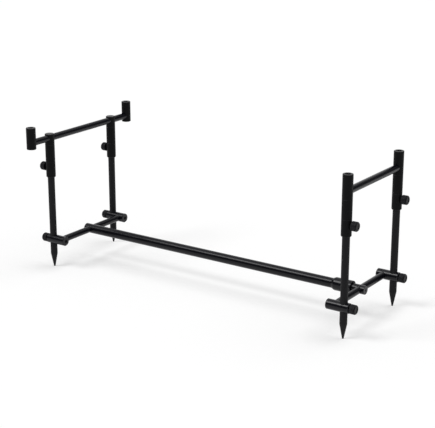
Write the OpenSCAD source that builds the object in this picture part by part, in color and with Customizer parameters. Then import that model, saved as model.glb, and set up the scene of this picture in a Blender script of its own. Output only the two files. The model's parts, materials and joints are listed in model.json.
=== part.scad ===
// Rod pod: a telescopic ridge with a goalpost of two legs and a buzz bar at each end.
// Millimetres, +Z up. The ridge lies along X with its rear end at +X, left is -Y,
// and the four spike tips stand on Z = 0 round the origin.

/* [Stance] */
// Distance from the front legs to the rear legs, axis to axis
wheelbase = 640; // [560:1:760]
// Distance between the two legs of one end, axis to axis
leg_gap = 182; // [150:1:230]
// Height of the ridge axis above the spike tips
ridge_z = 56; // [45:0.5:75]

/* [Ridge tube] */
// Outside diameter of the ridge tube
ridge_d = 18; // [17:0.1:20]
// Wall of the ridge tube
ridge_wall = 1; // [0.8:0.1:1.4]
// Length of ridge left past each cross bar's axis
end_margin = 11.2; // [11:0.1:14]
// Length of the plug inside the front end
plug_len = 55; // [50:1:80]
// Diameter of the screw that holds the plug from the side
plug_screw_d = 4; // [3:0.5:5]
// Length of that screw
plug_screw_len = 4; // [3:0.5:6]
// Distance of that screw from the front end
plug_screw_setback = 45; // [25:1:46]

/* [Twist lock] */
// Outside diameter of the lock collar
collar_d = 23.5; // [23:0.1:28]
// Length of the lock collar
collar_len = 38.5; // [36:0.5:48]
// Length of the sloped shoulder at the front of the collar
collar_shoulder = 5; // [2:0.5:8]
// Depth of the sloped recess in the collar's rear face
collar_recess = 2.5; // [1:0.1:3]
// Distance from the collar's rear face to the rear cross bar's axis
collar_gap = 14; // [9:0.5:25]
// Length of ridge tube inside the collar
tube_in_collar = 17; // [12:0.5:18]
// Length of the collet that the collar squeezes
collet_len = 14; // [11:0.5:15]
// Wall of the collet
collet_wall = 1.6; // [1.2:0.1:1.8]
// Length of the tapered nose of the collet
collet_nose = 5; // [3:0.5:7]
// Wall left at the tip of the nose
collet_tip = 0.8; // [0.5:0.1:1]
// Number of slits in the collet
collet_slits = 6; // [4:1:8]
// Width of a slit
slit_w = 1.2; // [0.8:0.1:2]

/* [Inner tube] */
// Length of the sliding inner tube
inner_len = 380; // [200:1:450]
// Wall of the inner tube
inner_wall = 1.5; // [1:0.1:2]
// Length of the solid end piece that carries the rear cross bar
end_piece_len = 27.5; // [20:0.5:40]
// Length of its spigot inside the inner tube
end_spigot_len = 24; // [10:1:40]

/* [Cross bars and buzz bars] */
// Outside diameter of the cross bars and buzz bars
bar_d = 12.8; // [11:0.1:13]
// Wall of those bars
bar_wall = 1.6; // [1:0.1:2.5]
// Distance from a leg's axis inwards to its cross bar's axis
bar_setback = 18.5; // [15:0.5:30]
// Length of bar past the axis of the piece that it ends in
bar_seat = 4; // [0:0.1:4.5]
// Distance between the front alarm sockets, axis to axis
socket_gap = 283; // [260:1:360]

/* [Leg clamps] */
// Outside diameter of a leg clamp
clamp_d = 18; // [17:0.1:22]
// Distance from the leg's axis to the outer end of the clamp
clamp_end = 11.4; // [9.6:0.1:14]
// Distance from the cross bar's axis to the inner end of the clamp
clamp_inner = 12.9; // [11:0.1:16]
// Chamfer of the clamp's ends
clamp_chamfer = 0.8; // [0.2:0.1:1.5]
// Diameter of the set screws that hold the cross bars
set_screw_d = 6; // [4:0.5:8]
// Length of those set screws
set_screw_len = 4.2; // [2:0.1:4.2]

/* [Legs] */
// Outside diameter of a leg
leg_d = 13.2; // [11:0.1:13.4]
// Wall of a leg
leg_wall = 1.5; // [1:0.1:2.5]
// Length of a leg between its spike and its top
leg_len = 210.5; // [160:0.5:300]
// Length of the spike's cone
spike_len = 26.5; // [15:0.5:32]
// Diameter of the blunt tip of the spike
spike_tip_d = 2.8; // [0.8:0.1:4]
// Length of the spike's spigot inside the leg
spike_spigot_len = 14; // [8:1:30]

/* [Goalposts] */
// Outside diameter of the lock rings, sleeves, heads and sockets
post_d = 18; // [17.4:0.1:21]
// Length of a sleeve
sleeve_len = 34; // [25:0.5:60]
// Thickness of the sleeve's closed top
sleeve_cap = 6; // [4:0.5:10]
// Room left above the leg inside the sleeve
leg_headroom = 1; // [0.5:0.1:5]
// Length of a lock ring below its sleeve
ring_len = 29.5; // [28:0.5:40]
// Length of the lock ring's spigot inside the sleeve
ring_spigot_len = 6; // [3:0.5:12]
// Wall of that spigot
ring_spigot_wall = 1.2; // [0.8:0.1:1.4]
// Chamfer round the foot of a lock ring
ring_chamfer = 1.2; // [0.4:0.1:2]
// Height of the thumbscrew above the foot of a lock ring
screw_rise = 19.5; // [10:0.5:23]
// Height of a buzz bar's axis above the sleeve's top
seat_to_bar = 12.8; // [11.7:0.1:18]
// Height of a plain head's top above the buzz bar's axis
head_rise = 8.4; // [8:0.1:14]
// Height of a socket's mouth above the buzz bar's axis
socket_rise = 29.4; // [26:0.1:36]
// Depth of a front socket's foot below the buzz bar's axis
socket_drop = 11.5; // [8:0.1:14]
// Chamfer round the tops and seams
seam_chamfer = 0.5; // [0.2:0.1:1]
// Diameter of the stud between a sleeve and what it carries
join_stud_d = 8; // [5:0.5:10]
// Length of that stud above the sleeve
join_stud_rise = 3.8; // [2:0.1:4]
// Major diameter of the alarm thread in the sockets
thread_d = 9.525; // [8:0.005:10]
// Depth of that thread
thread_depth = 17; // [12:0.5:18]
// Diameter of the countersunk mouth above the thread
mouth_d = 10.6; // [10.2:0.1:13]

/* [Thumbscrews] */
// Diameter of a knob
knob_d = 16.6; // [12:0.1:20]
// Length of a knob with its neck
knob_len = 12; // [8:0.5:20]
// Length of the neck under a knob
neck_len = 1.6; // [0.5:0.1:3]
// Diameter of the neck
neck_d = 10; // [7:0.5:11]
// Rounding of the knob's outer edge
knob_edge = 1.6; // [0.5:0.1:3]
// Diameter of the shallow dish in the knob's end
dish_d = 9; // [4:0.5:10]
// Depth of that dish
dish_depth = 0.6; // [0.2:0.1:1.5]
// Diameter of the screw
screw_d = 6; // [4:0.5:8]
// Number of grooves in the knurl
knurl_count = 36; // [16:1:48]
// Width of a knurl groove
knurl_w = 0.8; // [0.4:0.1:0.8]
// Space between a knob and the face under it
knob_gap = 0.4; // [0.2:0.1:1]

/* [Fits] */
// Radial clearance of pieces that slide or turn in a hole
run_fit = 0.06; // [0.03:0.01:0.1]
// Radial clearance of pieces fixed in a hole
seat_fit = 0.03; // [0.01:0.01:0.06]
// Gap between facing ends that don't touch
face_gap = 0.3; // [0.2:0.05:0.4]

/* [Hidden] */
$fn = 64;
// Extra length of cutting shapes
cut = 1;
front = -1;
rear = 1;
left = -1;
right = 1;
ends = [front, rear];
sides = [left, right];

tube_black = "#2d2d31";
leg_black = "#262626";
knob_black = "#202022";
screw_steel = "#3a3a3d";
collet_grey = "#4a4a4c";

leg_x = wheelbase / 2;
leg_y = leg_gap / 2;
bar_x = leg_x - bar_setback;
ridge_end_x = bar_x + end_margin;
ridge_bore = ridge_d - 2 * ridge_wall;
collar_x1 = bar_x - collar_gap;
collar_x0 = collar_x1 - collar_len;
tube_x1 = collar_x0 + tube_in_collar;

inner_d = ridge_bore - 2 * run_fit;
inner_bore = inner_d - 2 * inner_wall;
inner_x1 = ridge_end_x - end_piece_len;
collet_bore = inner_d + 2 * run_fit;
collet_d = collet_bore + 2 * collet_wall;

leg_hole = leg_d + 2 * run_fit;
bar_hole = bar_d + 2 * seat_fit;
screw_hole = screw_d + 2 * run_fit;
set_screw_hole = set_screw_d + 2 * seat_fit;
stud_hole = join_stud_d + 2 * seat_fit;
ring_spigot_d = leg_hole + 2 * ring_spigot_wall;

leg_top_z = spike_len + leg_len;
sleeve_top = leg_top_z + leg_headroom + sleeve_cap;
sleeve_z = sleeve_top - sleeve_len;
ring_z = sleeve_z - ring_len;
screw_z = ring_z + screw_rise;
bar_z = sleeve_top + seat_to_bar;

function end_name(end) = end == front ? "front" : "rear";
function corner_name(end, side) = str(end_name(end), side == left ? "_left" : "_right");
corner_pieces = ["clamp", "clamp_screw", "leg", "spike", "lock_ring", "ring_screw", "sleeve", "socket"];
end_pieces = ["cross_bar", "end_set_screw", "clamp_set_screws", "buzz_bar", "joining_studs"];

// Turns what stands on +Z to point along +X or -X
module along_x(dir) rotate([0, dir * 90, 0]) children();

// Turns what stands on +Z to point along +Y or -Y
module along_y(dir) rotate([-dir * 90, 0, 0]) children();

// Moves to the ridge axis at one place along it
module on_ridge(x) translate([x, 0, ridge_z]) children();

// Moves to the axis of one leg, at one height
module on_leg(end, side, z) translate([end * leg_x, side * leg_y, z]) children();

// A round bar on Z = 0 with a chamfer at its foot and at its top
module rod(d, len, foot, top) {
    r = d / 2;
    rotate_extrude() polygon([
        [0, 0], [r - foot, 0], [r, foot], [r, len - top], [r - top, len], [0, len]
    ]);
}

// A plain round tube on Z = 0
module pipe(d, bore, len) {
    difference() {
        cylinder(d = d, h = len);
        translate([0, 0, -cut]) cylinder(d = bore, h = len + 2 * cut);
    }
}

// A short screw with a hexagon socket, which starts on Z = 0 with its socket at the top
module grub_screw(d, len) {
    difference() {
        rod(d, len, d / 20, d / 20);
        translate([0, 0, len / 2]) cylinder(d = d / 2, h = len, $fn = 6);
    }
}

// A bar tube along Y through the plane Y = 0, with a stated reach to each side
module bar_tube(reach) {
    translate([0, -reach, 0]) along_y(1) pipe(bar_d, bar_d - 2 * bar_wall, 2 * reach);
}

// The hole that a bar ends in: it opens inwards, and stops just past the bar's end
module bar_end_hole(side) {
    translate([0, side * (bar_seat + face_gap), 0]) along_y(-side)
        cylinder(d = bar_hole, h = bar_seat + max(clamp_d, post_d) / 2 + cut);
}

// The hole from a bar's axis along +Z for the set screw that holds the bar
module set_screw_bore(len) cylinder(d = set_screw_hole, h = len + cut);

// The set screw in that hole
module set_screw() translate([0, 0, bar_d / 2 + face_gap]) grub_screw(set_screw_d, set_screw_len);

// Outline of a knurled knob, with one round groove after another
module knurl_outline() {
    difference() {
        circle(d = knob_d);
        for (i = [0 : knurl_count - 1])
            rotate(i * 360 / knurl_count) translate([knob_d / 2, 0]) circle(d = knurl_w);
    }
}

// A thumbscrew along +Z: Z = 0 is the leg's axis, and seat is the height of the face under the knob
module thumbscrew(seat) {
    tip = leg_d / 2 + face_gap;
    base = seat + knob_gap;
    knurl_z = base + neck_len;
    cap_z = base + knob_len - knob_edge;
    cap_r = knob_d / 2 - knurl_w / 2;
    color(knob_black) difference() {
        union() {
            translate([0, 0, tip]) cylinder(d = screw_d, h = base - tip);
            translate([0, 0, base]) cylinder(d = neck_d, h = neck_len);
            translate([0, 0, knurl_z]) linear_extrude(cap_z - knurl_z) knurl_outline();
            translate([0, 0, cap_z]) rotate_extrude() intersection() {
                translate([cap_r - knob_edge, 0]) circle(r = knob_edge);
                square([cap_r, knob_edge]);
            }
            translate([0, 0, cap_z]) cylinder(r = cap_r - knob_edge, h = knob_edge);
        }
        translate([0, 0, base + knob_len - dish_depth]) cylinder(d = dish_d, h = dish_depth + cut);
    }
}

module ridge_tube() color(tube_black) difference() {
    on_ridge(-ridge_end_x) along_x(1) pipe(ridge_d, ridge_bore, tube_x1 + ridge_end_x);
    on_ridge(-bar_x) rotate([90, 0, 0]) cylinder(d = bar_hole, h = ridge_d + 2 * cut, center = true);
    on_ridge(-ridge_end_x + plug_screw_setback) along_y(left)
        cylinder(d = plug_screw_d + 2 * seat_fit, h = ridge_d / 2 + cut);
}

// Solid plug that stiffens the front end where the cross bar passes
module front_end_plug() color(screw_steel) difference() {
    on_ridge(-ridge_end_x) along_x(1) rod(ridge_bore - 2 * seat_fit, plug_len, seam_chamfer, seam_chamfer);
    on_ridge(-bar_x) rotate([90, 0, 0]) cylinder(d = bar_hole, h = ridge_d + 2 * cut, center = true);
    on_ridge(-bar_x) along_x(front) set_screw_bore(end_margin);
    on_ridge(-ridge_end_x + plug_screw_setback) along_y(left)
        translate([0, 0, ridge_d / 2 - plug_screw_len - 2 * face_gap])
            cylinder(d = plug_screw_d + 2 * seat_fit, h = plug_screw_len + cut);
}

module front_plug_screw() color(screw_steel)
    on_ridge(-ridge_end_x + plug_screw_setback) along_y(left)
        translate([0, 0, ridge_d / 2 - plug_screw_len - face_gap]) grub_screw(plug_screw_d, plug_screw_len);

// Slit ring between the end of the ridge tube and the collar's cone
module collet() color(collet_grey) on_ridge(tube_x1) along_x(1) difference() {
    rotate_extrude() polygon([
        [collet_bore / 2, 0], [collet_d / 2, 0], [collet_d / 2, collet_len - collet_nose],
        [collet_bore / 2 + collet_tip, collet_len], [collet_bore / 2, collet_len]
    ]);
    for (i = [0 : collet_slits - 1]) rotate(i * 360 / collet_slits)
        translate([0, -slit_w / 2, collet_len / 4]) cube([collet_d, slit_w, collet_len]);
}

// Sleeve nut that runs on the end of the ridge tube and draws its cone over the collet
module lock_collar() {
    r = collar_d / 2;
    nut_r = ridge_d / 2 + run_fit;
    chamber_r = collet_d / 2 + face_gap;
    throat_r = inner_d / 2 + face_gap;
    cone_z0 = tube_in_collar + collet_len - collet_nose + face_gap;
    cone_z1 = tube_in_collar + collet_len + face_gap;
    cone_r1 = collet_bore / 2 + collet_tip + face_gap;
    rim_r = r - 2 * seam_chamfer;
    color(tube_black) on_ridge(collar_x0) along_x(1) rotate_extrude() polygon([
        [nut_r, 0], [nut_r + seam_chamfer, 0], [r, collar_shoulder], [r, collar_len - seam_chamfer],
        [r - seam_chamfer, collar_len], [rim_r, collar_len], [throat_r, collar_len - collar_recess],
        [throat_r, cone_z1], [cone_r1, cone_z1], [chamber_r, cone_z0],
        [chamber_r, tube_in_collar - face_gap], [nut_r, tube_in_collar - face_gap]
    ]);
}

module inner_tube() color(tube_black)
    on_ridge(inner_x1 - inner_len) along_x(1) pipe(inner_d, inner_bore, inner_len);

// Solid end of the inner tube, drilled for the rear cross bar
module rear_end_piece() color(tube_black) difference() {
    union() {
        on_ridge(inner_x1) along_x(1) rod(inner_d, end_piece_len, 0, seam_chamfer);
        on_ridge(inner_x1 - end_spigot_len) along_x(1)
            cylinder(d = inner_bore - 2 * seat_fit, h = end_spigot_len);
    }
    on_ridge(bar_x) rotate([90, 0, 0]) cylinder(d = bar_hole, h = ridge_d + 2 * cut, center = true);
    on_ridge(bar_x) along_x(rear) set_screw_bore(end_margin);
}

module end_set_screw(end) color(screw_steel) on_ridge(end * bar_x) along_x(end) set_screw();

module cross_bar(end) color(tube_black) on_ridge(end * bar_x) bar_tube(leg_y + bar_seat);

// Round clamp along X that takes a cross bar near its inner end and a leg near its outer end
module clamp(end, side) color(tube_black) difference() {
    on_leg(end, side, ridge_z) along_x(end) translate([0, 0, -bar_setback - clamp_inner])
        rod(clamp_d, clamp_inner + bar_setback + clamp_end, clamp_chamfer, clamp_chamfer);
    on_leg(end, side, ridge_z) cylinder(d = leg_hole, h = clamp_d + 2 * cut, center = true);
    on_leg(end, side, ridge_z) along_x(end) cylinder(d = screw_hole, h = clamp_end + cut);
    on_leg(end, side, ridge_z) translate([-end * bar_setback, 0, 0]) {
        bar_end_hole(side);
        along_x(-end) set_screw_bore(clamp_inner);
    }
}

module clamp_set_screws(end) color(screw_steel) for (side = sides)
    on_leg(end, side, ridge_z) translate([-end * bar_setback, 0, 0]) along_x(-end) set_screw();

module clamp_screw(end, side) on_leg(end, side, ridge_z) along_x(end) thumbscrew(clamp_end);

module leg(end, side) color(leg_black) on_leg(end, side, spike_len)
    pipe(leg_d, leg_d - 2 * leg_wall, leg_len);

// Turned ground spike with a spigot that plugs the foot of the leg
module spike(end, side) {
    spigot_r = leg_d / 2 - leg_wall - seat_fit;
    color(leg_black) on_leg(end, side, 0) rotate_extrude() polygon([
        [0, 0], [spike_tip_d / 2, 0], [leg_d / 2, spike_len], [spigot_r, spike_len],
        [spigot_r, spike_len + spike_spigot_len], [0, spike_len + spike_spigot_len]
    ]);
}

// Foot of the sleeve: a collar on the leg with a cross hole for the thumbscrew
module lock_ring(end, side) color(leg_black) on_leg(end, side, ring_z) difference() {
    union() {
        rod(post_d, ring_len, ring_chamfer, seam_chamfer);
        cylinder(d = ring_spigot_d, h = ring_len + ring_spigot_len);
    }
    translate([0, 0, -cut]) cylinder(d = leg_hole, h = ring_len + ring_spigot_len + 2 * cut);
    translate([0, 0, screw_rise]) along_x(end) cylinder(d = screw_hole, h = post_d / 2 + cut);
}

module ring_screw(end, side) on_leg(end, side, screw_z) along_x(end) thumbscrew(post_d / 2);

// Tube that slides on the top of the leg, closed at its top but for the stud's hole
module sleeve(end, side) color(leg_black) on_leg(end, side, sleeve_z) difference() {
    rod(post_d, sleeve_len, seam_chamfer, seam_chamfer);
    translate([0, 0, -cut]) cylinder(d = leg_hole, h = sleeve_len - sleeve_cap + cut);
    translate([0, 0, -cut]) cylinder(d = ring_spigot_d + 2 * seat_fit, h = ring_spigot_len + face_gap + cut);
    cylinder(d = stud_hole, h = sleeve_len + cut);
}

module joining_studs(end) color(screw_steel) for (side = sides)
    on_leg(end, side, sleeve_top - sleeve_cap + face_gap)
        rod(join_stud_d, sleeve_cap - face_gap + join_stud_rise, seam_chamfer, seam_chamfer);

// The hole for that stud in the foot of a head or socket
module stud_socket() translate([0, 0, -cut]) cylinder(d = stud_hole, h = join_stud_rise + face_gap + cut);

// Plain closed head of a front post, with the buzz bar straight through it
module head(side) color(leg_black) on_leg(front, side, sleeve_top) difference() {
    rod(post_d, seat_to_bar + head_rise, seam_chamfer, 2 * seam_chamfer);
    stud_socket();
    translate([0, 0, seat_to_bar]) rotate([90, 0, 0])
        cylinder(d = bar_hole, h = post_d + 2 * cut, center = true);
}

// Alarm socket: a round block with a threaded hole in its top, whose foot lies drop below the bar's axis
module alarm_socket(side, drop, on_post) {
    mouth_depth = (mouth_d - thread_d) / 2;
    difference() {
        translate([0, 0, -drop]) rod(post_d, drop + socket_rise, seam_chamfer, seam_chamfer);
        bar_end_hole(side);
        translate([0, 0, socket_rise - thread_depth - mouth_depth])
            cylinder(d = thread_d, h = thread_depth + mouth_depth + cut);
        translate([0, 0, socket_rise - mouth_depth])
            cylinder(d1 = thread_d, d2 = mouth_d + 2 * mouth_depth, h = 2 * mouth_depth);
        if (on_post) translate([0, 0, -drop]) stud_socket();
    }
}

// The front sockets stand on the ends of the buzz bar, and the rear ones on the posts
module socket(end, side) color(leg_black)
    translate([end * leg_x, side * (end == front ? socket_gap / 2 : leg_y), bar_z])
        alarm_socket(side, end == front ? socket_drop : seat_to_bar, end == rear);

module buzz_bar(end) color(tube_black) translate([end * leg_x, 0, bar_z])
    bar_tube((end == front ? socket_gap / 2 : leg_y) + bar_seat);

ridge_tube();
front_end_plug();
front_plug_screw();
collet();
lock_collar();
inner_tube();
rear_end_piece();
for (end = ends) {
    name = end_name(end);
    cross_bar(end);
    end_set_screw(end);
    clamp_set_screws(end);
    buzz_bar(end);
    joining_studs(end);
}
for (end = ends) for (side = sides) {
    name = corner_name(end, side);
    clamp(end, side);
    clamp_screw(end, side);
    leg(end, side);
    spike(end, side);
    lock_ring(end, side);
    ring_screw(end, side);
    sleeve(end, side);
    socket(end, side);
}
head(left);  // front_left_head
head(right);  // front_right_head
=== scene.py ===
"""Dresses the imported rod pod: a finish for every piece, threads in the alarm sockets, and a white stage."""

import json
import math

import bpy
from bpy.props import FloatProperty, FloatVectorProperty, IntProperty, PointerProperty
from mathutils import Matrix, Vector

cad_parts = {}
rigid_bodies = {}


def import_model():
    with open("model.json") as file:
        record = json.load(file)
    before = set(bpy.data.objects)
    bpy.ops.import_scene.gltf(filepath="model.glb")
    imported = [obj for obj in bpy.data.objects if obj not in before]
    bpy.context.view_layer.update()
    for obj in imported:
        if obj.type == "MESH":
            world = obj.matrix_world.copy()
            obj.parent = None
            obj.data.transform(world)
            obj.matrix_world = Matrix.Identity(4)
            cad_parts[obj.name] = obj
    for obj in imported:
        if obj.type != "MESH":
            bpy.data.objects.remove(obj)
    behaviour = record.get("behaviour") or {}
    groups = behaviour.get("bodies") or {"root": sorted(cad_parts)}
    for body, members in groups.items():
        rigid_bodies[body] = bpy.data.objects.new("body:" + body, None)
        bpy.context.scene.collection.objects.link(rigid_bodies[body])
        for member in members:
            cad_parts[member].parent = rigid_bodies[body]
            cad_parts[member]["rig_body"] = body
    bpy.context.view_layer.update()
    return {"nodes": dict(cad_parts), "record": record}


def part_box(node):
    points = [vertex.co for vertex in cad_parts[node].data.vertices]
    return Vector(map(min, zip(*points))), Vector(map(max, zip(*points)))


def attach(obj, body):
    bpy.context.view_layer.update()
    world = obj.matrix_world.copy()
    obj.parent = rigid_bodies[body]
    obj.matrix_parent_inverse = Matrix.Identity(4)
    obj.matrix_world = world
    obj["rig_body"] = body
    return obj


bl_info = {
    "name": "Rod pod dressing",
    "version": (1, 0, 0),
    "blender": (4, 5, 0),
    "location": "View3D > Sidebar > Rod pod",
    "description": "Finishes, alarm threads and a studio stage for a packed rod pod",
    "category": "Object",
}

MM = 0.001
INCH = 25.4 * MM
# Alarm threads are the usual 3/8 inch British Standard Fine.
THREADS_PER_INCH = 20
# Points of a mesh that are closer than this are one.
MERGE_GAP = MM / 1000
ENDS = ("front", "rear")
SIDES = ("left", "right")
CORNERS = [f"{end}_{side}" for end in ENDS for side in SIDES]
X, Y, Z = range(3)

# A Mix node has an output each for a number, a vector and a colour, in that order and all with one name.
MIX_COLOUR = 2

# Anodised aluminium wears a sealed skin of oxide. It is full of dye and hides the metal, so these finishes
# aren't metallic, and they throw back less light than a clear skin does, whose specular level is 0.5.
OXIDE_IOR = 1.5
RIDGE_GLOSS = 0.21
LOCK_GLOSS = 0.26
BAR_GLOSS = 0.25
CLAMP_GLOSS = 0.27
LEG_GLOSS = 0.14
POST_GLOSS = 0.08
KNOB_GLOSS = 0.15
ACETAL_IOR = 1.48

# Roughness of each surface from its smoothest spots to its roughest, as a Map Range node takes it.
SATIN = {"To Min": 0.18, "To Max": 0.28}
DULL_POST = {"To Min": 0.42, "To Max": 0.58}
DULL_SPIKE = {"To Min": 0.45, "To Max": 0.6}
BLASTED = {"To Min": 0.5, "To Max": 0.7}
KNURLED = {"To Min": 0.38, "To Max": 0.52}
OXIDISED = {"To Min": 0.3, "To Max": 0.5}
MOULDED = {"To Min": 0.4, "To Max": 0.5}

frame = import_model()
alarm_sockets = {m["name"]: m for m in frame["record"]["mounts"] if m["kind"] == "threaded_hole"}


def linear(hex_colour):
    """Linear RGB of an sRGB colour written as #rrggbb."""
    channels = [int(hex_colour[i:i + 2], 16) / 255 for i in (1, 3, 5)]
    return tuple(c / 12.92 if c <= 0.04045 else ((c + 0.055) / 1.055) ** 2.4 for c in channels)


def colour(name, description, default):
    """A colour that a user can change."""
    return FloatVectorProperty(name=name, description=description, subtype="COLOR", size=3, min=0, max=1,
                               default=linear(default))


class RodPodFinishes(bpy.types.PropertyGroup):
    """Colours of the finishes."""
    tube: colour("Tube black", "Dyed black of the ridge, the bars and the clamps", "#0a0a11")
    leg: colour("Leg black", "Blasted and dyed black of the legs and spikes", "#1e1e20")
    post: colour("Post black", "Turned and dyed black of the sleeves, rings, heads and sockets", "#131314")
    knob: colour("Knob black", "Dyed black of the thumbscrews", "#0e0e12")
    edge: colour("Worn edge", "Grey where a chamfer or a knurl's crest has lost some dye", "#4a4a4e")
    screw: colour("Screw black", "Black oxide of the steel screws and studs", "#3a3a3e")
    collet: colour("Collet black", "Moulded plastic of the collet", "#232324")


class RodPodThreads(bpy.types.PropertyGroup):
    """Sizes of the alarm threads."""
    pitch: FloatProperty(
        name="Pitch", description="Distance from one thread crest to the next", unit="LENGTH",
        default=INCH / THREADS_PER_INCH)
    depth: FloatProperty(
        name="Depth", description="Height of a thread crest above the wall", unit="LENGTH",
        default=0.81 * MM)
    crest: FloatProperty(
        name="Crest", description="Width of a thread's rounded crest", unit="LENGTH", default=0.3 * MM)
    root: FloatProperty(
        name="Root", description="Width left between two threads at the wall", unit="LENGTH",
        default=0.2 * MM)
    bite: FloatProperty(
        name="Bite", description="How far a thread's foot goes into the wall", unit="LENGTH",
        default=0.1 * MM)
    steps: IntProperty(name="Steps", description="Segments in one turn", default=32, min=12)


class RodPodStage(bpy.types.PropertyGroup):
    """The camera, the two softboxes and the white surroundings."""
    azimuth: FloatProperty(
        name="Azimuth", description="Turn of the camera round the pod", subtype="ANGLE",
        default=math.radians(34.44))
    elevation: FloatProperty(
        name="Elevation", description="Height of the camera over the pod", subtype="ANGLE",
        default=math.radians(17.28))
    distance: FloatProperty(
        name="Distance", description="From the camera to what it aims at", unit="LENGTH", default=2.2824)
    aim: FloatVectorProperty(
        name="Aim", description="What the camera aims at", subtype="XYZ_LENGTH", size=3,
        default=(0.00265, 0.0005, 0.13915))
    lens: FloatProperty(
        name="Lens", description="Focal length in millimetres", unit="CAMERA", default=102.73)
    sensor: FloatProperty(
        name="Sensor", description="Width of the camera's sensor in millimetres", unit="CAMERA", default=36)
    key: FloatProperty(
        name="Key light", description="Light of the softbox on the camera's left, as it falls square on",
        default=1.0, min=0)
    key_tilt: FloatProperty(
        name="Key tilt", description="Lean of the key softbox from straight overhead", subtype="ANGLE",
        default=math.radians(38))
    key_turn: FloatProperty(
        name="Key turn", description="Turn of the key softbox round the pod, from the camera",
        subtype="ANGLE", default=math.radians(-78))
    key_spread: FloatProperty(
        name="Key spread", description="Angle that the key softbox fills as seen from the pod",
        subtype="ANGLE", default=math.radians(22))
    fill: FloatProperty(
        name="Fill light", description="Light of the softbox across from the key, as it falls square on",
        default=0.96, min=0)
    fill_tilt: FloatProperty(
        name="Fill tilt", description="Lean of the fill softbox from straight overhead", subtype="ANGLE",
        default=math.radians(28))
    fill_spread: FloatProperty(
        name="Fill spread", description="Angle that the fill softbox fills as seen from the pod",
        subtype="ANGLE", default=math.radians(46))
    ambient: FloatProperty(
        name="Ambient", description="Light of the room on the pod", subtype="FACTOR",
        default=0.45, min=0, max=1)
    room: FloatProperty(
        name="Room", description="What the gloss shows of the room behind the camera", subtype="FACTOR",
        default=0.1, min=0, max=1)
    floor: colour("Floor", "Paper that the pod stands on", "#d4d4d4")
    floor_fill: FloatProperty(
        name="Floor fill", description="White added to what is seen of the floor", subtype="FACTOR",
        default=0.37, min=0, max=1)
    floor_size: FloatProperty(
        name="Floor size", description="Side of the floor", unit="LENGTH", default=14.0)


GROUPS = {
    "rod_pod_finishes": RodPodFinishes,
    "rod_pod_threads": RodPodThreads,
    "rod_pod_stage": RodPodStage,
}


def centre(node):
    """Middle of a CAD node's box."""
    low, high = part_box(node)
    return (low + high) / 2


def add_node(tree, kind, inputs=None, **settings):
    """Adds a node with its settings. An input goes by its identifier, name or number, and takes a value, or
    an output to link from."""
    node = tree.nodes.new(kind)
    for name, value in settings.items():
        setattr(node, name, value)
    identified = {socket.identifier: socket for socket in node.inputs}
    for name, value in (inputs or {}).items():
        socket = identified[name] if name in identified else node.inputs[name]
        if isinstance(value, bpy.types.NodeSocket):
            tree.links.new(value, socket)
        else:
            socket.default_value = value
    return node


def new_material(name):
    """An empty material, and its tree of nodes."""
    material = bpy.data.materials.new(name)
    material.use_nodes = True
    material.node_tree.nodes.clear()
    return material, material.node_tree


def set_finish(material, *nodes):
    """Gives CAD nodes or new pieces a finish in place of their plain one."""
    for name in nodes:
        piece = bpy.data.objects[name]
        if piece.material_slots:
            piece.material_slots[0].material = material
        else:
            piece.data.materials.append(material)


def mottled(tree, seen, rgb, width, play, detail=2.0):
    """A pattern of patches of some width, and a colour that goes darker and lighter with it, by a share."""
    dark, light = [tuple(min(1, c * share) for c in rgb) + (1,) for share in (1 - play, 1 + play)]
    patches = add_node(tree, "ShaderNodeTexNoise", {"Vector": seen, "Scale": 1 / width, "Detail": detail})
    shaded = add_node(tree, "ShaderNodeMix", {
        "Factor": patches.outputs["Fac"], "A_Color": dark, "B_Color": light}, data_type="RGBA")
    return patches.outputs["Fac"], shaded.outputs[MIX_COLOUR]


def worn(tree, dyed, edge, exposed, patches, most):
    """A dyed colour that goes towards a greyer one where it is exposed, in patches, by some share at most."""
    rubbed = add_node(tree, "ShaderNodeMath", {0: exposed, 1: patches}, operation="MULTIPLY")
    lost = add_node(tree, "ShaderNodeMapRange", {
        "Value": rubbed.outputs["Value"], "To Min": 0.0, "To Max": most})
    shaded = add_node(tree, "ShaderNodeMix", {
        "Factor": lost.outputs["Result"], "A_Color": dyed, "B_Color": (*edge, 1)}, data_type="RGBA")
    return shaded.outputs[MIX_COLOUR]


def turned_coordinates(tree, axis, place):
    """Place on a turned piece, how far that is along its axis and from it, and how squarely the surface
    faces along the axis. Pieces that mirror each other fold on to one."""
    seen = add_node(tree, "ShaderNodeTexCoord")
    folded = add_node(tree, "ShaderNodeVectorMath", {0: seen.outputs["Object"]}, operation="ABSOLUTE")
    local = add_node(tree, "ShaderNodeVectorMath", {
        0: folded.outputs["Vector"], 1: [abs(c) for c in place]}, operation="SUBTRACT")
    across = add_node(tree, "ShaderNodeVectorMath", {
        0: local.outputs["Vector"], 1: [0 if i == axis else 1 for i in range(3)]}, operation="MULTIPLY")
    radius = add_node(tree, "ShaderNodeVectorMath", {0: across.outputs["Vector"]}, operation="LENGTH")
    along = add_node(tree, "ShaderNodeSeparateXYZ", {"Vector": local.outputs["Vector"]})
    facing = add_node(tree, "ShaderNodeSeparateXYZ", {"Vector": seen.outputs["Normal"]})
    slope = add_node(tree, "ShaderNodeMath", {0: facing.outputs[axis]}, operation="ABSOLUTE")
    return seen.outputs["Object"], along.outputs[axis], radius.outputs["Value"], slope.outputs["Value"]


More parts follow.
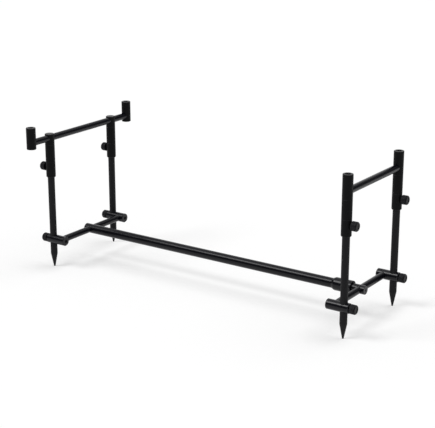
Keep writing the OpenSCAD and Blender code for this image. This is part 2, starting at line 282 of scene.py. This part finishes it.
def drawn_aluminium(piece, rgb, axis, gloss):
    """Aluminium tube, drawn, etched satin, anodised and dyed black."""
    # It gives the eye a long soft highlight, with faint lines along the tube.
    material, tree = new_material(f"drawn_anodised_aluminium_{piece}")
    seen = add_node(tree, "ShaderNodeTexCoord").outputs["Object"]
    # The dye takes unevenly over some 45 mm.
    _, base = mottled(tree, seen, rgb, width=45 * MM, play=0.2)
    # Die lines are about 0.2 mm wide and run for some 80 mm; they are drawn 1.2 mm wide so that they show.
    line_width, line_run, line_depth = 1.2 * MM, 80 * MM, 0.04 * MM
    stretched = add_node(tree, "ShaderNodeMapping", {
        "Vector": seen, "Scale": [1 / (line_run if i == axis else line_width) for i in range(3)]})
    lines = add_node(tree, "ShaderNodeTexNoise", {
        "Vector": stretched.outputs["Vector"], "Scale": 1.0, "Detail": 3.0})
    rough = add_node(tree, "ShaderNodeMapRange", {"Value": lines.outputs["Fac"], **SATIN})
    # The etch leaves a grain of about 0.3 mm.
    grain_width, grain_depth = 0.3 * MM, 0.03 * MM
    grain = add_node(tree, "ShaderNodeTexNoise", {"Vector": seen, "Scale": 1 / grain_width, "Detail": 2.0})
    etched = add_node(tree, "ShaderNodeBump", {
        "Height": grain.outputs["Fac"], "Strength": 0.3, "Distance": grain_depth})
    bump = add_node(tree, "ShaderNodeBump", {
        "Height": lines.outputs["Fac"], "Strength": 0.2, "Distance": line_depth,
        "Normal": etched.outputs["Normal"]})
    shader = add_node(tree, "ShaderNodeBsdfPrincipled", {
        "Base Color": base, "Roughness": rough.outputs["Result"], "Normal": bump.outputs["Normal"],
        "IOR": OXIDE_IOR, "Specular IOR Level": gloss})
    add_node(tree, "ShaderNodeOutputMaterial", {"Surface": shader.outputs["BSDF"]})
    return material


def turned_aluminium(piece, rgb, edge, axis, place, roughness, gloss):
    """Aluminium bar, turned, anodised and dyed black."""
    # It gives the eye fine rings from the tool, and a greyer line where a chamfer lost some dye.
    material, tree = new_material(f"turned_anodised_aluminium_{piece}")
    seen, along, radius, slope = turned_coordinates(tree, axis, place)
    # The dye takes unevenly over some 20 mm.
    patches, dyed = mottled(tree, seen, rgb, width=20 * MM, play=0.15)
    # A chamfer faces neither along the axis nor away from it.
    chamfer_slope, slope_play = 0.68, 0.2
    chamfer = add_node(tree, "ShaderNodeMath", {
        0: slope, 1: chamfer_slope, 2: slope_play}, operation="COMPARE")
    base = worn(tree, dyed, edge, chamfer.outputs["Value"], patches, most=0.5)
    # The tool feeds 0.15 mm a turn; the rings are drawn about 0.7 mm apart so that they show.
    ring_width, ring_depth = 0.7 * MM, 0.05 * MM
    feed = add_node(tree, "ShaderNodeMath", {0: along, 1: radius}, operation="ADD")
    rings = add_node(tree, "ShaderNodeTexNoise", {
        "W": feed.outputs["Value"], "Scale": 1 / ring_width, "Detail": 3.0}, noise_dimensions="1D")
    bump = add_node(tree, "ShaderNodeBump", {
        "Height": rings.outputs["Fac"], "Strength": 0.5, "Distance": ring_depth})
    side_rough = add_node(tree, "ShaderNodeMapRange", {"Value": rings.outputs["Fac"], **roughness})
    # The faced ends come out half as rough as the sides.
    end_slope, end_share = 0.95, 0.5
    faced = add_node(tree, "ShaderNodeMath", {0: slope, 1: end_slope}, operation="GREATER_THAN")
    smoother = add_node(tree, "ShaderNodeMapRange", {
        "Value": faced.outputs["Value"], "To Min": 1.0, "To Max": end_share})
    rough = add_node(tree, "ShaderNodeMath", {
        0: side_rough.outputs["Result"], 1: smoother.outputs["Result"]}, operation="MULTIPLY")
    shader = add_node(tree, "ShaderNodeBsdfPrincipled", {
        "Base Color": base, "Roughness": rough.outputs["Value"], "Normal": bump.outputs["Normal"],
        "IOR": OXIDE_IOR, "Specular IOR Level": gloss})
    add_node(tree, "ShaderNodeOutputMaterial", {"Surface": shader.outputs["BSDF"]})
    return material


def blasted_aluminium(piece, rgb, gloss):
    """Aluminium tube, blasted with beads, anodised and dyed black."""
    # It gives the eye an even dull black with a fine grain and no clear highlight.
    material, tree = new_material(f"blasted_anodised_aluminium_{piece}")
    seen = add_node(tree, "ShaderNodeTexCoord").outputs["Object"]
    # The dye takes unevenly over some 30 mm.
    _, base = mottled(tree, seen, rgb, width=30 * MM, play=0.15)
    # Beads leave dimples of about 0.15 mm; they are drawn 0.8 mm wide so that they show.
    bead_width, bead_depth = 0.8 * MM, 0.1 * MM
    beads = add_node(tree, "ShaderNodeTexNoise", {"Vector": seen, "Scale": 1 / bead_width, "Detail": 4.0})
    rough = add_node(tree, "ShaderNodeMapRange", {"Value": beads.outputs["Fac"], **BLASTED})
    bump = add_node(tree, "ShaderNodeBump", {
        "Height": beads.outputs["Fac"], "Strength": 0.6, "Distance": bead_depth})
    shader = add_node(tree, "ShaderNodeBsdfPrincipled", {
        "Base Color": base, "Roughness": rough.outputs["Result"], "Normal": bump.outputs["Normal"],
        "IOR": OXIDE_IOR, "Specular IOR Level": gloss})
    add_node(tree, "ShaderNodeOutputMaterial", {"Surface": shader.outputs["BSDF"]})
    return material


def knurled_aluminium(piece, rgb, edge, place, crest_radius, gloss):
    """Aluminium knob, knurled, anodised and dyed black."""
    # It gives the eye dull grooves, with greyer crests where fingers rub them.
    material, tree = new_material(f"knurled_anodised_aluminium_{piece}")
    seen, along, radius, _ = turned_coordinates(tree, X, place)
    # Fingers rub the outer 0.25 mm of the crests, unevenly over some 5 mm.
    patches, dyed = mottled(tree, seen, rgb, width=5 * MM, play=0.15)
    rub_depth = 0.25 * MM
    crest = add_node(tree, "ShaderNodeMapRange", {
        "Value": radius, "From Min": crest_radius - rub_depth, "From Max": crest_radius})
    base = worn(tree, dyed, edge, crest.outputs["Result"], patches, most=0.6)
    # The end face shows tool rings of 0.15 mm, drawn 0.6 mm apart so that they show.
    ring_width, ring_depth = 0.6 * MM, 0.03 * MM
    feed = add_node(tree, "ShaderNodeMath", {0: along, 1: radius}, operation="ADD")
    rings = add_node(tree, "ShaderNodeTexNoise", {
        "W": feed.outputs["Value"], "Scale": 1 / ring_width, "Detail": 2.0}, noise_dimensions="1D")
    rough = add_node(tree, "ShaderNodeMapRange", {"Value": rings.outputs["Fac"], **KNURLED})
    bump = add_node(tree, "ShaderNodeBump", {
        "Height": rings.outputs["Fac"], "Strength": 0.3, "Distance": ring_depth})
    shader = add_node(tree, "ShaderNodeBsdfPrincipled", {
        "Base Color": base, "Roughness": rough.outputs["Result"], "Normal": bump.outputs["Normal"],
        "IOR": OXIDE_IOR, "Specular IOR Level": gloss})
    add_node(tree, "ShaderNodeOutputMaterial", {"Surface": shader.outputs["BSDF"]})
    return material


def black_oxide_steel(rgb):
    """Steel, turned and blackened in hot salts."""
    # It gives the eye a dark oily metal with blotches of blue-black.
    material, tree = new_material("black_oxide_steel")
    seen = add_node(tree, "ShaderNodeTexCoord").outputs["Object"]
    # Blotches are about 1 mm across.
    blotches, base = mottled(tree, seen, rgb, width=1 * MM, play=0.3, detail=3.0)
    rough = add_node(tree, "ShaderNodeMapRange", {"Value": blotches, **OXIDISED})
    # The oxide's grain is about 0.2 mm.
    grain_width, grain_depth = 0.2 * MM, 0.02 * MM
    grain = add_node(tree, "ShaderNodeTexNoise", {"Vector": seen, "Scale": 1 / grain_width, "Detail": 2.0})
    bump = add_node(tree, "ShaderNodeBump", {
        "Height": grain.outputs["Fac"], "Strength": 0.2, "Distance": grain_depth})
    shader = add_node(tree, "ShaderNodeBsdfPrincipled", {
        "Base Color": base, "Roughness": rough.outputs["Result"], "Normal": bump.outputs["Normal"],
        "Metallic": 1.0})
    add_node(tree, "ShaderNodeOutputMaterial", {"Surface": shader.outputs["BSDF"]})
    return material


def moulded_acetal(rgb):
    """Black acetal, moulded in a spark-eroded mould."""
    # It gives the eye an even waxy black with a fine texture.
    material, tree = new_material("moulded_acetal")
    seen = add_node(tree, "ShaderNodeTexCoord").outputs["Object"]
    # Flow marks are some 8 mm across.
    flow, base = mottled(tree, seen, rgb, width=8 * MM, play=0.1, detail=1.0)
    rough = add_node(tree, "ShaderNodeMapRange", {"Value": flow, **MOULDED})
    # The mould's texture is about 0.25 mm.
    spark_width, spark_depth = 0.25 * MM, 0.03 * MM
    sparks = add_node(tree, "ShaderNodeTexNoise", {"Vector": seen, "Scale": 1 / spark_width, "Detail": 2.0})
    bump = add_node(tree, "ShaderNodeBump", {
        "Height": sparks.outputs["Fac"], "Strength": 0.2, "Distance": spark_depth})
    shader = add_node(tree, "ShaderNodeBsdfPrincipled", {
        "Base Color": base, "Roughness": rough.outputs["Result"], "Normal": bump.outputs["Normal"],
        "IOR": ACETAL_IOR})
    add_node(tree, "ShaderNodeOutputMaterial", {"Surface": shader.outputs["BSDF"]})
    return material


class RODPOD_OT_ridge(bpy.types.Operator):
    """Finish the ridge tube, the inner tube and the twist lock"""
    bl_idname = "rodpod.ridge"
    bl_label = "Ridge"

    def execute(self, context):
        colours = context.scene.rod_pod_finishes
        ridge_axis = Vector((0, 0, centre("ridge_tube").z))
        set_finish(drawn_aluminium("ridge", colours.tube, X, RIDGE_GLOSS), "ridge_tube", "inner_tube")
        set_finish(turned_aluminium("lock", colours.tube, colours.edge, X, ridge_axis, SATIN, LOCK_GLOSS),
                   "lock_collar", "rear_end_piece")
        set_finish(moulded_acetal(colours.collet), "collet")
        return {"FINISHED"}


class RODPOD_OT_bars(bpy.types.Operator):
    """Finish the cross bars, the buzz bars and the leg clamps"""
    bl_idname = "rodpod.bars"
    bl_label = "Bars and clamps"

    def execute(self, context):
        colours = context.scene.rod_pod_finishes
        set_finish(drawn_aluminium("bar", colours.tube, Y, BAR_GLOSS),
                   *(f"{end}_{bar}" for end in ENDS for bar in ("cross_bar", "buzz_bar")))
        place = centre("front_left_clamp")
        set_finish(turned_aluminium("clamp", colours.tube, colours.edge, X, place, SATIN, CLAMP_GLOSS),
                   *(f"{corner}_clamp" for corner in CORNERS))
        return {"FINISHED"}


class RODPOD_OT_legs(bpy.types.Operator):
    """Finish the legs and their spikes"""
    bl_idname = "rodpod.legs"
    bl_label = "Legs and spikes"

    def execute(self, context):
        colours = context.scene.rod_pod_finishes
        set_finish(blasted_aluminium("leg", colours.leg, LEG_GLOSS),
                   *(f"{corner}_leg" for corner in CORNERS))
        place = centre("front_left_spike")
        set_finish(turned_aluminium("spike", colours.leg, colours.edge, Z, place, DULL_SPIKE, LEG_GLOSS),
                   *(f"{corner}_spike" for corner in CORNERS))
        return {"FINISHED"}


class RODPOD_OT_goalposts(bpy.types.Operator):
    """Finish the lock rings, sleeves, heads and sockets"""
    bl_idname = "rodpod.goalposts"
    bl_label = "Goalposts"

    def execute(self, context):
        colours = context.scene.rod_pod_finishes
        place = centre("front_left_sleeve")
        set_finish(turned_aluminium("post", colours.post, colours.edge, Z, place, DULL_POST, POST_GLOSS),
                   *(f"{corner}_{piece}" for corner in CORNERS for piece in ("lock_ring", "sleeve")),
                   *(f"front_{side}_head" for side in SIDES), *(f"rear_{side}_socket" for side in SIDES))
        # The front sockets stand outside the posts, on the ends of the buzz bar.
        place = centre("front_left_socket")
        set_finish(turned_aluminium("socket", colours.post, colours.edge, Z, place, DULL_POST, POST_GLOSS),
                   *(f"front_{side}_socket" for side in SIDES))
        return {"FINISHED"}


class RODPOD_OT_thumbscrews(bpy.types.Operator):
    """Finish the eight thumbscrews"""
    bl_idname = "rodpod.thumbscrews"
    bl_label = "Thumbscrews"

    def execute(self, context):
        colours = context.scene.rod_pod_finishes
        for kind in ("clamp_screw", "ring_screw"):
            low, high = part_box(f"front_left_{kind}")
            place = (low + high) / 2
            crest_radius = (high.z - low.z) / 2
            set_finish(knurled_aluminium(kind, colours.knob, colours.edge, place, crest_radius, KNOB_GLOSS),
                       *(f"{corner}_{kind}" for corner in CORNERS))
        return {"FINISHED"}


class RODPOD_OT_fasteners(bpy.types.Operator):
    """Finish the set screws, the plug with its screw, and the joining studs"""
    bl_idname = "rodpod.fasteners"
    bl_label = "Screws and studs"

    def execute(self, context):
        colours = context.scene.rod_pod_finishes
        kinds = ("end_set_screw", "clamp_set_screws", "joining_studs")
        set_finish(black_oxide_steel(colours.screw), "front_end_plug", "front_plug_screw",
                   *(f"{end}_{kind}" for end in ENDS for kind in kinds))
        return {"FINISHED"}


def select_alone(piece):
    """Selects one piece and makes it the active one."""
    bpy.ops.object.select_all(action="DESELECT")
    piece.select_set(True)
    bpy.context.view_layer.objects.active = piece


def thread_section(name, sizes, wall):
    """Draws the outline of a thread's section in the XZ plane, at the wall of its hole."""
    foot = sizes.pitch - sizes.root
    height = sizes.depth + sizes.bite
    # It starts as a square plate, stood up and drawn to the thread's height and foot.
    bpy.ops.object.select_all(action="DESELECT")
    bpy.ops.mesh.primitive_plane_add(size=1)
    thread = bpy.context.object
    thread.name = thread.data.name = name
    bpy.ops.object.mode_set(mode="EDIT")
    bpy.ops.mesh.select_all(action="SELECT")
    bpy.ops.transform.rotate(value=math.pi / 2, orient_axis="X", center_override=(0, 0, 0))
    bpy.ops.transform.resize(value=(height, 1, foot))
    bpy.ops.transform.translate(value=(wall + sizes.bite - height / 2, 0, 0))
    # The crest's two corners come together and are rounded till they meet.
    bpy.ops.object.mode_set(mode="OBJECT")
    for vertex in thread.data.vertices:
        vertex.select = vertex.co.x < wall - sizes.depth / 2
    for element in (*thread.data.edges, *thread.data.polygons):
        element.select = False
    bpy.ops.object.mode_set(mode="EDIT")
    bpy.context.tool_settings.mesh_select_mode = (True, False, False)
    bpy.ops.transform.resize(value=(1, 1, sizes.crest / foot))
    bpy.ops.mesh.bevel(offset=sizes.crest / 2, segments=2, affect="VERTICES")
    bpy.ops.mesh.select_all(action="SELECT")
    bpy.ops.mesh.remove_doubles(threshold=MERGE_GAP)
    # The plate goes, so that only its outline is left.
    bpy.ops.mesh.delete(type="ONLY_FACE")
    bpy.ops.object.mode_set(mode="OBJECT")
    return thread


def wind_thread(thread, sizes, length):
    """Winds a thread's section up a hole, less one turn for the thread's ends, and closes them."""
    screw = thread.modifiers.new("Thread", "SCREW")
    screw.axis = "Z"
    screw.screw_offset = sizes.pitch
    screw.iterations = int((length - sizes.pitch) / sizes.pitch)
    screw.steps = screw.render_steps = sizes.steps
    screw.use_merge_vertices = True
    screw.merge_threshold = MERGE_GAP
    bpy.ops.object.modifier_apply(modifier=screw.name)
    bpy.ops.object.mode_set(mode="EDIT")
    bpy.ops.mesh.select_all(action="SELECT")
    bpy.ops.mesh.fill_holes(sides=0)
    bpy.ops.mesh.normals_make_consistent(inside=False)
    bpy.ops.object.mode_set(mode="OBJECT")
    bpy.ops.object.shade_smooth_by_angle(angle=math.radians(50))


def copy_thread(thread, name):
    """Another thread, with a mesh of its own."""
    select_alone(thread)
    bpy.ops.object.duplicate(linked=False)
    copy = bpy.context.object
    copy.name = copy.data.name = name
    return copy


class RODPOD_OT_alarm_threads(bpy.types.Operator):
    """Model one alarm thread and copy it into the four sockets"""
    bl_idname = "rodpod.alarm_threads"
    bl_label = "Alarm threads"

    def execute(self, context):
        sizes = context.scene.rod_pod_threads
        hole = next(iter(alarm_sockets.values()))["dims"]
        names = [name.replace("socket", "thread") for name in alarm_sockets]
        first = thread_section(names[0], sizes, hole["r_mm"] * MM)
        wind_thread(first, sizes, hole["length_mm"] * MM)
        heights = [vertex.co.z for vertex in first.data.vertices]
        middle = Vector((0, 0, (min(heights) + max(heights)) / 2))
        threads = [first, *(copy_thread(first, name) for name in names[1:])]
        for thread, mount in zip(threads, alarm_sockets.values()):
            select_alone(thread)
            bpy.ops.transform.translate(value=Vector(mount["pos_m"]) - middle)
            bpy.ops.object.transform_apply(location=True, rotation=True, scale=True)
            socket = frame["nodes"][mount["name"].replace("alarm_", "")]
            set_finish(socket.material_slots[0].material, thread.name)
            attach(thread, socket["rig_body"])
        return {"FINISHED"}


def uncoated_paper(stage):
    """White paper, uncoated."""
    # It gives the eye the pod's soft shadow, and white wherever else it is seen.
    material, tree = new_material("uncoated_white_paper")
    white = add_node(tree, "ShaderNodeBsdfDiffuse", {"Color": (*stage.floor, 1)})
    path = add_node(tree, "ShaderNodeLightPath")
    seen = add_node(tree, "ShaderNodeMath", {
        0: path.outputs["Is Camera Ray"], 1: path.outputs["Is Glossy Ray"]}, operation="ADD")
    shown = add_node(tree, "ShaderNodeMath", {
        0: seen.outputs["Value"], 1: path.outputs["Is Transmission Ray"]},
        operation="ADD", use_clamp=True)
    fill = add_node(tree, "ShaderNodeMath", {
        0: shown.outputs["Value"], 1: stage.floor_fill}, operation="MULTIPLY")
    glow = add_node(tree, "ShaderNodeEmission", {"Strength": fill.outputs["Value"]})
    both = add_node(tree, "ShaderNodeAddShader", {0: white.outputs["BSDF"], 1: glow.outputs["Emission"]})
    add_node(tree, "ShaderNodeOutputMaterial", {"Surface": both.outputs["Shader"]})
    material.cycles.emission_sampling = "NONE"
    return material


def lay_floor(stage):
    """Lays the paper floor."""
    bpy.ops.object.select_all(action="DESELECT")
    bpy.ops.mesh.primitive_plane_add(size=stage.floor_size)
    floor = bpy.context.object
    floor.name = floor.data.name = "floor"
    floor.data.materials.append(uncoated_paper(stage))


def white_room(stage):
    """A room that is white to the camera and through glass, and lights the pod softly. Gloss shows the white
    backdrop behind the pod, a pale ceiling, and a dimmer room on the camera's side."""
    world = bpy.data.worlds.new("white_room")
    world.use_nodes = True
    tree = world.node_tree
    tree.nodes.clear()
    path = add_node(tree, "ShaderNodeLightPath")
    white = add_node(tree, "ShaderNodeMath", {
        0: path.outputs["Is Camera Ray"], 1: path.outputs["Is Transmission Ray"]}, operation="MAXIMUM")
    shown = add_node(tree, "ShaderNodeMath", {
        0: white.outputs["Value"], 1: path.outputs["Is Glossy Ray"]}, operation="MAXIMUM")
    toward = add_node(tree, "ShaderNodeTexCoord").outputs["Generated"]
    # The ceiling fades in by how far a unit arrow from the pod points up, and the backdrop by how far it
    # points behind the pod.
    ceiling_edge, backdrop_edge = (0.5, 0.95), (0.55, 0.95)
    height = add_node(tree, "ShaderNodeSeparateXYZ", {"Vector": toward})
    ceiling = add_node(tree, "ShaderNodeMapRange", {
        "Value": height.outputs["Z"], "From Min": ceiling_edge[0], "From Max": ceiling_edge[1],
        "To Min": stage.room, "To Max": 1.0}, interpolation_type="SMOOTHSTEP")
    behind = add_node(tree, "ShaderNodeVectorMath", {
        0: toward, 1: (-math.sin(stage.azimuth), math.cos(stage.azimuth), 0)}, operation="DOT_PRODUCT")
    backdrop = add_node(tree, "ShaderNodeMapRange", {
        "Value": behind.outputs["Value"], "From Min": backdrop_edge[0], "From Max": backdrop_edge[1],
        "To Min": ceiling.outputs["Result"], "To Max": 1.0}, interpolation_type="SMOOTHSTEP")
    bright = add_node(tree, "ShaderNodeMath", {
        0: white.outputs["Value"], 1: backdrop.outputs["Result"]}, operation="MAXIMUM")
    level = add_node(tree, "ShaderNodeMapRange", {
        "Value": shown.outputs["Value"], "To Min": stage.ambient, "To Max": bright.outputs["Value"]})
    room = add_node(tree, "ShaderNodeBackground", {
        "Color": (1, 1, 1, 1), "Strength": level.outputs["Result"]})
    add_node(tree, "ShaderNodeOutputWorld", {"Surface": room.outputs["Background"]})
    world.cycles.sampling_method = "NONE"
    return world


def hang_softboxes(stage):
    """Hangs two softboxes that lean in from opposite sides and light the floor evenly. The key draws a
    narrow line of light along the ridge and the clamps, and the wider fill softens the shadows."""
    key_side = stage.azimuth + stage.key_turn
    fill_side = key_side + math.pi
    for name, strength, tilt, turn, spread in (
            ("key_softbox", stage.key, stage.key_tilt, key_side, stage.key_spread),
            ("fill_softbox", stage.fill, stage.fill_tilt, fill_side, stage.fill_spread)):
        bpy.ops.object.light_add(type="SUN", rotation=(tilt, 0, turn))
        softbox = bpy.context.object
        softbox.name = softbox.data.name = name
        softbox.data.energy = strength
        softbox.data.angle = spread


def stand_camera(stage):
    """Stands the camera at the photograph's angle."""
    level, rise = math.cos(stage.elevation), math.sin(stage.elevation)
    back = Vector((math.sin(stage.azimuth) * level, -math.cos(stage.azimuth) * level, rise))
    bpy.ops.object.camera_add(location=Vector(stage.aim) + back * stage.distance,
                              rotation=(math.pi / 2 - stage.elevation, 0, stage.azimuth))
    camera = bpy.context.object
    camera.name = camera.data.name = "camera"
    camera.data.sensor_fit = "HORIZONTAL"
    camera.data.sensor_width = stage.sensor
    camera.data.lens = stage.lens
    return camera


class RODPOD_OT_stage(bpy.types.Operator):
    """Lay the floor and set the white room, the two softboxes and the camera"""
    bl_idname = "rodpod.stage"
    bl_label = "Stage"

    def execute(self, context):
        scene = context.scene
        lay_floor(scene.rod_pod_stage)
        scene.world = white_room(scene.rod_pod_stage)
        hang_softboxes(scene.rod_pod_stage)
        scene.camera = stand_camera(scene.rod_pod_stage)
        scene.view_settings.view_transform = "Standard"
        return {"FINISHED"}


OPERATORS = (RODPOD_OT_ridge, RODPOD_OT_bars, RODPOD_OT_legs, RODPOD_OT_goalposts, RODPOD_OT_thumbscrews,
             RODPOD_OT_fasteners, RODPOD_OT_alarm_threads, RODPOD_OT_stage)


class RODPOD_PT_panel(bpy.types.Panel):
    """Lists the rod pod's pieces, its stage, and the sizes and colours of both"""
    bl_idname = "RODPOD_PT_panel"
    bl_label = "Rod pod"
    bl_space_type = "VIEW_3D"
    bl_region_type = "UI"
    bl_category = "Rod pod"

    def draw(self, context):
        for operator in OPERATORS:
            self.layout.operator(operator.bl_idname)
        for group_name, group in GROUPS.items():
            box = self.layout.box()
            for name in group.__annotations__:
                box.prop(getattr(context.scene, group_name), name)


CLASSES = (*GROUPS.values(), *OPERATORS, RODPOD_PT_panel)


def register():
    """Adds the classes to Blender, and their settings to the scene."""
    for cls in CLASSES:
        bpy.utils.register_class(cls)
    for name, group in GROUPS.items():
        setattr(bpy.types.Scene, name, PointerProperty(type=group))


def unregister():
    """Takes the settings and the classes out again."""
    for name in GROUPS:
        delattr(bpy.types.Scene, name)
    for cls in reversed(CLASSES):
        bpy.utils.unregister_class(cls)


def main():
    """Dresses the pod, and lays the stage."""
    register()
    bpy.ops.rodpod.ridge()
    bpy.ops.rodpod.bars()
    bpy.ops.rodpod.legs()
    bpy.ops.rodpod.goalposts()
    bpy.ops.rodpod.thumbscrews()
    bpy.ops.rodpod.fasteners()
    bpy.ops.rodpod.alarm_threads()
    bpy.ops.rodpod.stage()


if __name__ == "__main__":
    main()
